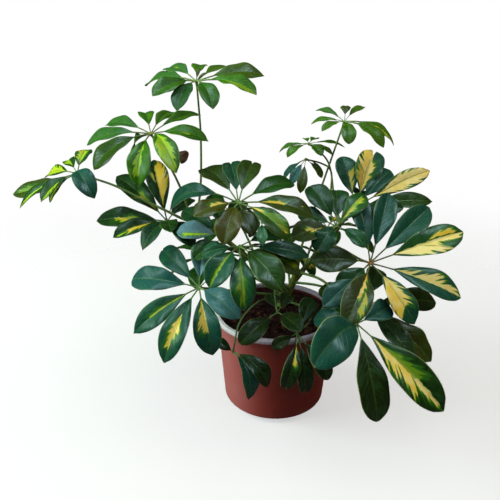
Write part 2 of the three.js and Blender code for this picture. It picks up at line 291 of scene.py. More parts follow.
def makeVariegationGroup():
    # one pale patch of a blade: it grows from a line along the blade out to one side, in fingers that
    # follow the side veins, with a lime fringe and a lighter green zone around it
    (across, along, seed, anchor, spread, start, end), result = newGroup(
        "variegation", ("Across", "Along", "Seed", "Anchor", "Spread", "Start", "End"), patchLayers)
    shape = patchShape
    vein = abs(across) * -shape["lean"] + along
    side = spread.math("SIGN")
    size = abs(spread)
    shift = side * 7.3 + seed * 31.0
    fingers = remap(wave(vein, shape["fingers"], shift), *shape["fingerBand"]) * shape["fingerDepth"]
    nicks = wave(vein, shape["nicks"], shift) * shape["nickDepth"]
    uneven = fingers + nicks + wave(vein, shape["waves"], shift)
    opening = remap(vein, start, start + shape["opening"])
    closing = remap(vein, end - shape["closing"], end, 1, 0)
    calm = remap(size, *shape["calm"])  # a patch out to the edge has shallow teeth
    reach = size * opening * closing * ((uneven * shape["teeth"] + shape["teethBase"]) * calm + 1.0)
    wander = (wave(along, shape["wanders"], shift) - 0.5) * shape["wander"]
    inner = (across - anchor) * side + wander
    ragged = fibre(across, vein, shift, *shape["edgeFibre"]) * shape["ragged"] * calm
    outer = ragged * size + reach - inner
    there = size.math("GREATER_THAN", shape["leastSpread"]) * reach.math("GREATER_THAN", shape["leastReach"])
    loose = fibre(across, vein, seed, *shape["looseFibre"]) * shape["loose"]
    edges = {"Mask": outer, "Fringe": loose * shape["fringeLoose"] + outer, "Zone": loose + outer}
    for label, (behind, low, high) in patchLayers.items():
        near = remap(inner, behind - shape["anchorBlur"], behind + shape["anchorBlur"])
        feed(result[label], near * remap(edges[label], low, high) * there)


def makeVeinGroup():
    (across, along, seed), result = newGroup(
        "bladeVeins", ("Across", "Along", "Seed"), ("Vein", "Midrib", "Margin", "Blotch"))
    shape = veinShape
    away = abs(across)
    slanted = away.math("POWER", shape["bend"]) * -shape["lean"] + along
    turn = slanted * shape["perSide"] + seed * 0.6
    beat = abs(turn.math("FRACT") - 0.5)
    feed(result["Vein"], remap(beat, shape["line"], 0) * remap(away, *shape["fade"]))
    feed(result["Midrib"], remap(away, *shape["midrib"]))
    tip = remap(along, *shape["tip"])
    feed(result["Margin"], remap(away, *shape["margin"]).math("MAXIMUM", tip))
    sectors = fibre(across, slanted, seed * 47.0 + across.math("SIGN"), *shape["sectorFibre"])
    feed(result["Blotch"], remap(sectors, *shape["blotch"]))


# for each layer of mottling: its scale against the group's, its detail and the band of noise that shows
mottleLayers = {"Cloud": (1, 3, (0.32, 0.68)), "Grain": (14, 4, ()), "Speck": (9, 2, (0.70, 0.76))}


def makeMottleGroup():
    (scale,), result = newGroup("mottle", ["Scale"], mottleLayers)
    for label, (finer, detail, band) in mottleLayers.items():
        inputs = {"Vector": objectPlace(scale.tree), "Scale": scale * finer, "Detail": detail}
        value = noiseOf(scale.tree, inputs)
        feed(result[label], remap(value, *band) if band else value)


def leaflet(*values, **look):
    # the plain numbers are its row, and the groups of numbers after them are its patches
    row = [value for value in values if not isinstance(value, tuple)]
    return row, {**look, "patches": values[len(row):]}


# two patches that make a whole leaflet dry and brown
allDry = ((0, 3, -1, 2, 1.5), (0, -3, -1, 2, 1.5))

# A leaf: its hub, the way its upper face looks (azimuth, elevation), its petiole's path up to the hub and
# its leaflets, in millimetres and degrees. A leaflet's row is azimuth, elevation, reach and width, then
# bow and roll where they aren't the usual ones. After it come its patches, and then its look by name. A
# patch starts from a line along the blade (-1 to 1 across it), spreads from there, lies between two
# places along the blade, and has a hue (0 lime, 0.35 yellow, 0.7 cream, 1 orange, 1.5 dry brown) and a
# strength where it isn't 1. A leaf at the back has an even ring of leaflets instead: how many, the first
# azimuth, elevation, reach and width.
leaves = {}
leaves["leafFarLeft"] = {
    "hub": (-250, 0, 329), "facing": (-100, 60), "tone": 0.3,
    "petiole": [(-98, 9, 256), (-122, -6, 272), (-143, -8, 284), (-170, -4, 296), (-205, 1, 313)],
    "leaflets": [
        leaflet(-54, -18, 60, 27, 0.3, tone=0.2, blue=1.1, fold=0.45, twist=0),
        leaflet(84, 30, 46, 24, (0, 0.6, 0.05, 0.9, 0.1), (0, -0.4, 0.1, 0.8, 0.1)),
        leaflet(120, 10, 50, 18, (0, 0.7, 0.1, 0.9, 0.1)),
        leaflet(150, -10, 62, 26, (0, -0.75, 0, 0.98, 0.1), (0, 0.75, 0.05, 0.94, 0.1)),
        leaflet(-140, -29, 57, 24, 0.15, (0.4, 0.45, 0.15, 0.9, 0.1, 0.6), tone=0.15, tip="sharp"),
        leaflet(-145, -38, 50, 12, 0.15, (0, 0.5, 0.2, 0.9, 0.05), tone=0.5, olive=0.5),
        leaflet(177, -17, 93, 30, -0.04, (0, -0.4, 0.3, 0.9, 0, 0.3), tone=0.45, olive=0.7),
        leaflet(-172, -28, 88, 18, 0.1, (0, 0.7, 0.3, 0.95, 0.05), tip="sharp"),
    ]}
leaves["leafUpperLeft"] = {
    "hub": (-154, -4, 378), "facing": (-90, 65), "tone": 0.72, "olive": 0.2, "slim": 0.9, "redness": 0.6,
    "petiole": [(-113, 5, 267), (-118, 8, 290), (-128, 4, 322), (-145, -2, 360)],
    "leaflets": [
        leaflet(150, 5, 75, 26, blue=0.3),
        leaflet(175, -9, 84, 28, blue=0.3),
        leaflet(-155, -27, 81, 32, 0.15, tone=0.4, olive=0.4),
        leaflet(120, -25, 80, 26, 0.1, -40, tone=0.55, olive=0.1),
        leaflet(-100, -42, 75, 30, 0.2, (0, -0.4, 0.2, 0.85, 0), (0, 0.12, 0.1, 0.7, 0)),
        leaflet(-60, -22, 83, 26, 0.2, (0.1, -1, 0.1, 0.95, 0.03), (0.1, 0.4, 0.05, 0.9, 0.03)),
        leaflet(-15, -3, 74, 26, (-0.1, -0.4, 0.35, 0.6, 0.1), tip="sharp"),
        leaflet(35, 14, 74, 24, olive=0.3, tip="sharp"),
        leaflet(72, 18, 65, 22, olive=0.4),
        leaflet(105, 15, 70, 22),
        leaflet(-33, -25, 60, 18, 0.1, 50, *allDry, bare=0.74, curl=1.1, wave=0.5),
    ]}
leaves["leafTop"] = {
    "hub": (-95, -22, 439), "facing": (-90, 75), "tone": 0.8, "olive": 0.25, "slim": 0.85,
    "petiole": [(-107, 7, 264), (-99, 7, 300), (-95, 4, 372), (-95, -10, 415)],
    "leaflets": [
        leaflet(127, 10, 70, 26, 0.1, -10, (0, 0.3, 0.35, 0.55, 0.1, 0.6), tone=0.9, blue=0.6),
        leaflet(149, -4, 76, 28, 0.1, -12, blue=0.4),
        leaflet(-137, -11, 60, 26, 0.12, -15, tone=0.6),
        leaflet(-110, -26, 58, 24, 0.15, tone=0.5, olive=0.3, blue=0.3, fold=0.4),
        leaflet(-65, -24, 58, 24, 0.15, tone=0.75, olive=0.2, blue=0.2, fold=0.4),
        leaflet(-22, -8, 74, 33, (0, -1, 0.25, 0.97, 0, 0.5), olive=0.1),
        leaflet(12, 4, 80, 27, 0.1, 20, olive=0.7, tip="sharp"),
        leaflet(50, 12, 64, 22, olive=0.6),
        leaflet(90, 15, 60, 20),
        leaflet(70, 62, 17, 5, olive=0.9, curl=0.6),
        leaflet(20, 40, 15, 5, olive=0.9, curl=0.6),
    ]}
leaves["leafLeft"] = {
    "hub": (-141, -6, 268), "facing": (-90, 55), "tone": 0.12, "bareShare": 0.15,
    "petiole": [(-108, 6, 264), (-126, -1, 262)],
    "leaflets": [
        leaflet(155, 34, 93, 32, (0, 0.5, -0.1, 0.42, 0.25), (0, -0.2, 0.1, 0.5, 0.05, 0.5)),
        leaflet(116, 54, 88, 32, (0, -0.9, 0.05, 0.86, 0.38), (0.3, 0.25, 0.42, 0.66, 0.3, 0.8)),
        leaflet(-171, 5, 88, 33, 0.05, (0, 0.35, 0.15, 0.7, 0.2), (0, -0.15, 0.2, 0.55, 0.1)),
        leaflet(-150, -6, 72, 24, (0.05, 0.45, 0.15, 0.7, 0.35), (0.3, 0.3, 0.6, 0.85, 0)),
        leaflet(-110, -12, 67, 24, 0.15, (0, 3, 0.82, 1.6, 1.5), (0, -3, 0.82, 1.6, 1.5), blue=0.3,
                tip="sharp"),
        leaflet(-50, -13, 65, 26, 0.15, blue=0.2),
        leaflet(-75, 5, 50, 24),
        leaflet(60, 18, 58, 26),
    ]}
leaves["leafLowLeft"] = {
    "hub": (-95, -83, 212), "facing": (-95, 45), "tone": 0.26, "blue": 0.7, "bareShare": 0.17,
    "petiole": [(16, 20, 148), (-25, -20, 172), (-62, -58, 196)],
    "leaflets": [
        leaflet(165, 2, 88, 36, (-0.3, -0.14, 0.42, 0.5, 0.2), blue=1.25, tip="blunt", width=0.9),
        leaflet(135, 22, 78, 34, blue=0.9, tip="blunt", notch=0.03, width=0.8, twist=16),
        leaflet(84, 47, 64, 28, blue=1.9, fold=0.5),
        leaflet(-155, -25, 93, 34, 0.12, (0, -0.06, -0.1, 0.7, 0.1, 0.75), (0, 0.14, -0.1, 0.28, 0.35),
                blue=0.8, tip="sharp", width=0.86),
        leaflet(-120, -38, 97, 36, 0.15, (0.08, 0.26, 0.3, 0.66, 0.45), (0, -0.3, 0.28, 0.84, 0.42), blue=0.8,
                width=0.84),
        leaflet(-69, -47, 82, 36, 0.18, (0.02, -0.52, -0.05, 0.64, 0.45), blue=1.1, width=0.88, fold=0.46),
        leaflet(-44, -9, 72, 34, 0.15, blue=1.5, width=0.86, fold=0.42),
        leaflet(30, 25, 60, 24),
    ]}
leaves["leafCentreHigh"] = {
    "hub": (-48, -74, 313), "facing": (-90, 60), "tone": 0.22, "olive": 0.7,
    "petiole": [(28, 22, 180), (8, 2, 235), (-28, -42, 288)],
    "leaflets": [
        leaflet(170, -10, 85, 30, 0.3, tone=0.1, olive=0.1, blue=0.7),
        leaflet(126, 21, 78, 34, 0.12, olive=0.5),
        leaflet(-145, -3, 58, 28, (-0.05, -0.26, 0.05, 0.56, 0.42, 0.9), olive=1),
        leaflet(100, 32, 67, 26, olive=0.3, blue=0.7, tip="notch"),
        leaflet(72, 34, 66, 28, olive=0.5, tip="notch"),
        leaflet(30, 11, 77, 30, tone=0.3, olive=0.1),
        leaflet(2, -9, 88, 30, (0.03, 0.22, 0.03, 0.5, 0.45), (0.3, 0.14, 0.62, 0.74, 0.6, 0.7), olive=0.6),
        leaflet(-30, -25, 72, 27, 0.15, (0.05, 0.3, -0.1, 0.36, 0.42), (0.1, 0.3, 0.58, 0.88, 0.42),
                (0, 0.9, 0.2, 0.8, 0, 0.22), tone=0.34, olive=0.4),
        leaflet(-106, -29, 62, 30, 0.2, tone=0.3, olive=1.15),
        leaflet(-65, -35, 45, 22, tone=0.1),
    ]}
leaves["leafCentre"] = {
    "hub": (-47, -92, 268), "facing": (-90, 50), "tone": 0.32, "blue": 0.2,
    "petiole": [(20, 20, 158), (-8, -30, 205), (-38, -75, 250)],
    "leaflets": [
        leaflet(-125, -30, 62, 34, 0.2, (-0.02, -0.09, -0.1, 1.1, 0.02), blue=0.8, width=0.86, fold=0.5),
        leaflet(-84, -43, 76, 32, 0.18, (0.05, -0.42, 0, 0.9, 0.05, 0.34), (0.02, 0.14, 0.3, 0.95, 0.1, 0.3),
                blue=0.5, width=0.88, fold=0.45),
        leaflet(-50, -19, 77, 34, 0.15, tone=0.2, olive=0.2, blue=0),
        leaflet(5, -26, 78, 28, (0.1, 0.5, 0.4, 0.9, 0.1, 0.6), tone=0.35, olive=0.9),
        leaflet(6, -11, 84, 30, tone=0.05, blue=0.6, tip="sharp", width=0.76),
        leaflet(30, 6, 60, 24),
        leaflet(-178, -12, 44, 24, tone=0.34, blue=0.6, curl=0.4),
    ]}
leaves["leafLeftInner"] = {
    "hub": (-64, -51, 263), "facing": (-100, 55), "tone": 0.2,
    "petiole": [(10, 22, 160), (-25, -5, 205), (-55, -40, 245)],
    "leaflets": [
        leaflet(180, 8, 60, 28, (0.34, 0.26, -0.1, 0.75, 0.03), tone=0.4, blue=2.3),
        leaflet(150, 20, 70, 28, blue=0.3),
        leaflet(-150, -25, 48, 24),
        leaflet(110, 35, 70, 26),
        leaflet(70, 25, 70, 26),
    ]}
leaves["leafTopRight"] = {
    "hub": (82, 22, 389), "facing": (-90, 75), "tone": 0.85, "olive": 0.35, "slim": 0.85,
    "petiole": [(31, 25, 203), (45, 26, 255), (60, 25, 310)],
    "leaflets": [
        leaflet(140, 15, 44, 16, tone=0.9, blue=0.3),
        leaflet(165, -5, 42, 16),
        leaflet(-150, -13, 36, 15),
        leaflet(-88, -30, 42, 20, 0.2, tip="blunt"),
        leaflet(-32, -26, 60, 30, 0.15, tone=0.85, olive=0.5),
        leaflet(0, -23, 72, 27, 0.15, (0, -0.9, 0.15, 0.95, 0.15, 0.7), olive=0.5),
        leaflet(80, 35, 28, 14, 0.3, tone=0.6, olive=0.9, curl=0.5),
        leaflet(45, 20, 45, 14, olive=0.6),
    ]}
leaves["leafNewUpper"] = {
    "hub": (40, 32, 360), "facing": (-90, 80), "tone": 0.9, "olive": 0.3, "slim": 0.8,
    "petiole": [(86, 24, 256), (80, 46, 284), (76, 74, 320), (58, 42, 346)],
    "leaflets": [
        leaflet(170, -17, 40, 17, blue=0.3),
        leaflet(-150, -22, 36, 17),
        leaflet(-60, -20, 30, 16),
        leaflet(-35, -16, 36, 13, olive=0.7),
        leaflet(0, -5, 48, 13, olive=0.5, tip="sharp"),
        leaflet(100, 10, 20, 10),
        leaflet(60, 4, 30, 12),
    ]}
leaves["leafNewLower"] = {
    "hub": (36, 22, 342), "facing": (-90, 70), "tone": 0.75, "slim": 0.8,
    "petiole": [(86, 20, 254), (74, 34, 282), (76, 60, 316), (57, 31, 335)],
    "leaflets": [
        leaflet(180, -42, 38, 14, blue=1.3),
        leaflet(-140, -50, 38, 14, blue=1.5),
        leaflet(-105, -55, 46, 14, tone=0.6, olive=0.9),
        leaflet(-20, -44, 32, 14, olive=0.9),
        leaflet(50, -30, 35, 12, blue=0.6),
        leaflet(120, -40, 40, 14, (0, -0.9, 0.3, 1, 0.1), (0, 0.9, 0.3, 1, 0.1)),
    ]}
leaves["leafRightBack"] = {
    "hub": (104, 20, 279), "facing": (-90, 40), "tone": 0.2,
    "petiole": [(87, 22, 254), (97, 22, 266)],
    "leaflets": [
        leaflet(106, 48, 78, 34, 0.05, (-0.16, -0.4, -0.05, 0.54, 0.42, 0.8), blue=0.8, tip="blunt",
                width=0.88),
        leaflet(60, 47, 90, 40, 0.05, (0, 0.9, -0.1, 1, 0.46), (0, -0.36, -0.1, 0.72, 0.5),
                (0.34, 0.5, -0.1, 0.4, 0.95, 0.6), blue=0.8, tip="notch", notch=0.13),
        leaflet(38, 31, 80, 32, tone=0.12, blue=0.9, fold=0.4),
        leaflet(12, 25, 112, 32, 0.05, (0, 0.93, 0.08, 1.02, 0.8), (0, -0.9, -0.1, 1, 0.55), width=0.8,
                fold=0.36),
        leaflet(3, 3, 106, 26, olive=0.3, tip="sharp"),
        leaflet(-25, 5, 62, 26),
        leaflet(72, 8, 60, 28),
    ]}
leaves["leafRightUpper"] = {
    "hub": (69, -46, 275), "facing": (-90, 50), "tone": 0.18, "blue": 0.15,
    "petiole": [(48, 22, 198), (52, 0, 225), (64, -30, 258)],
    "leaflets": [
        leaflet(38, 32, 60, 26, (0.1, -0.45, -0.1, 0.85, 0.1), tone=0.5, bare=0.12),
        leaflet(85, 38, 56, 32, 0.08, tip="blunt"),
        leaflet(132, 44, 62, 34, tip="blunt"),
        leaflet(165, 15, 50, 26),
        leaflet(-160, -5, 60, 34, (0.1, 0.2, 0.15, 0.5, 0.45), (-0.05, -0.22, 0.35, 0.62, 0.4, 0.8),
                olive=0.8),
        leaflet(-130, -25, 46, 28, 0.25, blue=0.5, tip="notch", wave=0.2),
        leaflet(-40, -20, 45, 22, 0.15, tone=0.4, blue=0.5),
    ]}
leaves["leafRight"] = {
    "hub": (109, -63, 235), "facing": (-80, 45), "tone": 0.2, "blue": 0.2, "redness": 1,
    "petiole": [(70, 22, 228), (88, -5, 228), (102, -40, 230)],
    "leaflets": [
        leaflet(102, 53, 87, 32, 0.05, tone=0.14, blue=0.95, tip="blunt", fold=0.5),
        leaflet(63, 51, 95, 34, 0.05, blue=1, width=0.86, fold=0.5),
        leaflet(29, 32, 108, 37, 0.05, blue=0.9, width=0.88, fold=0.5),
        leaflet(9, 15, 123, 39, 0.05, (0.05, -1, -0.1, 0.58, 0.7), (0.24, 0.3, 0.42, 0.84, 0.4),
                (0.02, -0.4, 0.35, 1.06, 0.62), tone=0.3, wave=0.15),
        leaflet(-7, -18, 119, 39, 0.05, (0, 0.54, -0.05, 0.98, 0.68), blue=1, width=0.9),
        leaflet(-47, -40, 88, 36, (0, -1.1, -0.1, 0.66, 0.5), (0, 0.6, -0.1, 0.66, 0.55), blue=0.7),
        leaflet(-118, -24, 98, 36, 0.12, (0.02, 0.24, -0.1, 0.58, 0.92), (0.4, 0.4, 0.28, 0.66, 0.25, 0.5),
                (-0.25, 0.1, 0.72, 0.8, 0.9, 0.8), tone=0.08, olive=0.8),
        leaflet(-175, 6, 72, 36, tone=0.15, olive=0.7),
        leaflet(-145, -28, 58, 34, 0.15, tone=0.15),
        leaflet(-141, -23, 84, 30, 0.05, tone=0.3, blue=1.3, bare=0.4),
    ]}
leaves["leafLowRight"] = {
    "hub": (84, -127, 189), "facing": (-80, 40), "tone": 0.18, "bareShare": 0.14,
    "petiole": [(36, 22, 183), (58, -30, 196), (76, -88, 197)],
    "leaflets": [
        leaflet(-131, -10, 84, 46, 0.19, -8, tone=0.22, blue=1.1, tip="blunt", widest=0.54, width=0.96,
                bare=0.08, arc=-0.13),
        leaflet(-72, -56, 108, 43, 0.08, tone=0, olive=0.2, tip="blunt", width=0.84),
        leaflet(-30, -36, 132, 45, 0.06, (0.02, -0.8, -0.1, 0.6, 0.5), (0, -0.3, 0.48, 0.95, 0.8),
                (0.08, 0.32, 0.1, 0.6, 0.02, 0.28), tone=0.08, width=0.9),
        leaflet(148, -10, 54, 26, blue=1.1),
        leaflet(112, -13, 54, 26),
        leaflet(38, 2, 62, 28, blue=1.2),
    ]}
leaves["leafRightLowBack"] = {
    "hub": (104, -64, 179), "facing": (-85, 50), "tone": 0.1, "olive": 0.3,
    "petiole": [(26, 22, 168), (60, -15, 180), (88, -45, 180)],
    "leaflets": [
        leaflet(5, 0, 97, 34, olive=0.5),
        leaflet(-30, -30, 106, 36, olive=0.7, wave=0.2),
        leaflet(-48, -28, 88, 30, blue=0.2),
        leaflet(-175, -8, 52, 30, tone=0.3, blue=0.6, tip="blunt"),
        leaflet(150, 5, 60, 28),
        leaflet(60, 20, 70, 30),
    ]}
# the three small front leaves are set below the darkest tone: partly their own deep green, partly painted
# shade
leaves["leafFrontLeftSmall"] = {
    "hub": (-56, -88, 126), "facing": (-110, 40), "tone": -0.05, "slim": 0.75, "bareShare": 0.1,
    "petiole": [(9, 19, 138), (-22, -30, 166), (-48, -72, 158)],
    "leaflets": [
        leaflet(165, 35, 28, 14),
        leaflet(-60, -50, 62, 27, 0.28, -45, tone=0.1, blue=1, tip="sharp", fold=0.5),
        leaflet(-22, -38, 62, 25, 0.28, -30),
    ]}
leaves["leafFrontMidSmall"] = {
    "hub": (0, -50, 160), "facing": (-90, 50), "tone": -0.1, "olive": 0.2, "slim": 0.75,
    "petiole": [(17, 20, 152), (2, -10, 180), (-3, -32, 178)],
    "leaflets": [
        leaflet(-134, -13, 70, 28, tip="blunt"),
        leaflet(-60, 0, 52, 26, tip="blunt"),
        leaflet(60, 15, 38, 20),
        leaflet(110, 25, 32, 18),
    ]}
leaves["leafFrontRightSmall"] = {
    "hub": (23, -79, 147), "facing": (-80, 40), "tone": -0.1, "slim": 0.75,
    "petiole": [(10, 19, 142), (38, -28, 154), (42, -58, 154)],
    "leaflets": [
        leaflet(-160, -22, 36, 16, 0.2, olive=0.3, tip="blunt"),
        leaflet(-108, -45, 70, 22, 0.2, (0, 0.4, -0.1, 0.5, 0.3), tip="notch"),
        leaflet(-78, -56, 73, 22, 0.18, tip="notch"),
        leaflet(-42, -42, 68, 24, 0.15, tip="blunt"),
        leaflet(60, 38, 52, 25, tone=0, tip="blunt"),
        leaflet(-95, -62, 17, 2.6, 0.2, 30, *allDry, bare=0.1),
        leaflet(-65, -70, 15, 2.4, 0.2, -30, *allDry, bare=0.1),
        leaflet(-130, -75, 14, 2.4, 0.2, *allDry, bare=0.1),
    ]}
leaves["leafCentreYoung"] = {
    "hub": (-22, -99, 299), "facing": (-90, 50), "tone": 0.85, "blue": 0.7, "slim": 0.7,
    "petiole": [(30, 24, 194), (14, -18, 252), (-4, -77, 289)],
    "leaflets": [
        leaflet(-91, -37, 30, 13, tone=0.9, blue=1, tip="sharp", bare=0.12),
        leaflet(-10, -35, 24, 9),
    ]}
leaves["leafBackLeft"] = {
    "hub": (-58, 98, 244), "facing": (90, 75), "tone": 0.3, "even": (7, 90, -10, 76, 30),
    "petiole": [(-20, 24, 187), (-40, 62, 222)]}
leaves["leafBackRight"] = {
    "hub": (80, 92, 224), "facing": (80, 75), "tone": 0.25, "even": (7, 60, -8, 78, 32),
    "petiole": [(40, 22, 188), (55, 60, 210)]}
leaves["leafBackMiddle"] = {
    "hub": (12, 120, 184), "facing": (90, 70), "tone": 0.25, "even": (8, 80, -12, 78, 30),
    "petiole": [(22, 22, 160), (20, 70, 178)]}
leaves["leafBackLowLeft"] = {
    "hub": (-92, 54, 192), "facing": (130, 70), "tone": 0.3, "even": (7, 105, -8, 70, 30),
    "petiole": [(15, 21, 147), (-40, 42, 172)]}


# how every blade is cut and bent: lengths in millimetres, bends as shares of the half width, droop and
# lean as shares of the length
bladeShape = {
    "stations": 28, "widest": 0.6, "wedge": 1.02, "width": 0.94, "thickness": 0.55, "midribDepth": 0.4,
    "midribRidge": 0.7, "fold": 0.36, "foldSpread": 0.1, "curl": 0.16, "wave": 0.09, "sweep": 0.03, "arc": 0,
    "tipDroop": 0.04, "twist": 7, "stalkRadius": 0.8, "uneven": 0.05,
}
acrossBlade = [-1, -0.95, -0.8, -0.58, -0.36, -0.18, -0.06, 0, 0.06, 0.18, 0.36, 0.58, 0.8, 0.95, 1]
# how the blade closes towards its tip: power, rounding and how far the very end is drawn to a point
tipStyles = {
    "round": (2, 0.72, 0.35), "blunt": (2.4, 0.62, 0.15), "sharp": (1.7, 0.95, 0.5), "notch": (3, 0.52, 0),
}
petioleShape = {
    "foot": 2.6, "footFade": 0.05, "baseRadius": 1.9, "topRadius": 1.3, "hub": 2.5, "hubFade": 0.03,
    "sides": 12, "steps": 30, "beyondHub": 1.6, "endRadius": 0.9,
}
stalkShape = {"swelling": [1.5, 1.25, 1.05, 1, 1, 1, 1, 1.05, 0.8], "sides": 8, "fullWidth": 26}
usualLeaf = {"olive": 0.1, "blue": 0, "redness": 0.2, "bareShare": 0.22, "slim": 1}
usualBends = (0.1, 0)  # bow as a share of the reach, and roll
patchNames = ("patchOne", "patchTwo", "patchThree")
finishes = {"upper": 0, "under": 1, "stalk": 2}


def heading(azimuth, elevation):
    a = math.radians(azimuth)
    e = math.radians(elevation)
    return np.array([math.cos(e) * math.cos(a), math.cos(e) * math.sin(a), math.sin(e)])


def unit(vectors):
    return vectors / np.linalg.norm(vectors, axis=-1, keepdims=True)


def newParts():
    return {"points": [], "faces": [], "finishes": [], "data": {}, "count": 0}


def addPart(parts, points, faces, finish, data):
    start = parts["count"]
    parts["points"].append(points)
    parts["faces"] += [tuple(start + i for i in face) for face in faces]
    parts["finishes"] += finish if isinstance(finish, list) else [finish] * len(faces)
    for name, values in data.items():
        parts["data"].setdefault(name, []).append(np.broadcast_to(values, (len(points), 3)))
    parts["count"] += len(points)


def ringFaces(rings, count):
    return [
        (r * count + i, r * count + (i + 1) % count, (r + 1) * count + (i + 1) % count, (r + 1) * count + i)
        for r in range(rings - 1) for i in range(count)]


def addTube(parts, path, radii, sides, finish, data):
    path = np.array(path, float)
    ahead = unit(np.gradient(path, axis=0))
    across = unit(np.cross(ahead[0], [0.31, 0.77, 0.55]))  # any way that no tube here runs
    angles = 2 * np.pi * np.arange(sides)[:, None] / sides
    rings = []
    for place, way, radius in zip(path, ahead, radii):
        across = unit(across - way * across.dot(way))
        over = np.cross(way, across)
        rings.append(place + radius * (np.cos(angles) * across + np.sin(angles) * over))
    points = np.concatenate(rings)
    caps = [tuple(reversed(range(sides))), tuple(range(len(points) - sides, len(points)))]
    addPart(parts, points, ringFaces(len(path), sides) + caps, finish, data)


def smoothPath(points, steps):
    # centripetal Catmull-Rom curve through given points, evenly stepped
    points = np.array(points, float)
    points = np.concatenate([[2 * points[0] - points[1]], points, [2 * points[-1] - points[-2]]])
    dense = []
    for i in range(1, len(points) - 2):
        p = points[i - 1 : i + 3]
        knots = np.concatenate([[0], np.cumsum(np.linalg.norm(np.diff(p, axis=0), axis=1) ** 0.5)])

        def between(a, b, t, low, high):
            return a + (b - a) * (t - knots[low]) / (knots[high] - knots[low])

        for t in np.linspace(knots[1], knots[2], 24, endpoint=False):
            first = [between(p[k], p[k + 1], t, k, k + 1) for k in range(3)]
            second = [between(first[k], first[k + 1], t, k, k + 2) for k in range(2)]
            dense.append(between(second[0], second[1], t, 1, 2))
    dense = np.array([*dense, points[-2]])
    run = np.concatenate([[0], np.cumsum(np.linalg.norm(np.diff(dense, axis=0), axis=1))])
    even = np.linspace(0, run[-1], steps + 1)
    return np.stack([np.interp(even, run, dense[:, k]) for k in range(3)], axis=1)


def bladeWidths(along, style, widest):
    power, rounding, pointed = tipStyles[style]
    rise = np.sin(np.pi / 2 * np.clip(along / widest, 0, 1) ** bladeShape["wedge"])
    over = np.clip((along - widest) / (1 - widest), 0, 1)
    close = np.clip(1 - over**power, 0, 1) ** rounding * (1 - pointed * np.clip((over - 0.8) / 0.2, 0, 1))
    return np.maximum(rise * close, 0.02)


def lookData(look, leaf, chance):
    tone = look.get("tone", leaf["tone"]) + chance.uniform(-0.05, 0.05)
    data = {"leafTone": (tone, look.get("olive", leaf["olive"]), look.get("blue", leaf["blue"]))}
    patches = look.get("patches", [])
    for i, name in enumerate(patchNames):
        anchor, spread, start, end, hue, *strength = patches[i] if i < len(patches) else (0, 0, 0, 0, 0)
        data[name] = (anchor, spread, start)
        data[name + "End"] = (end, hue, strength[0] if strength else 1)
    return data


def stalkData(data, leaf, along, sides, seed):
    # the data of a stalk: how close each of its rings is to the hub, and how red it is
    near = np.repeat(along, sides)
    place = np.stack([np.zeros(len(near)), near, np.full(len(near), seed)], axis=1)
    return {**data, "bladePlace": place, "leafTone": (leaf["tone"], leaf["redness"], 0)}


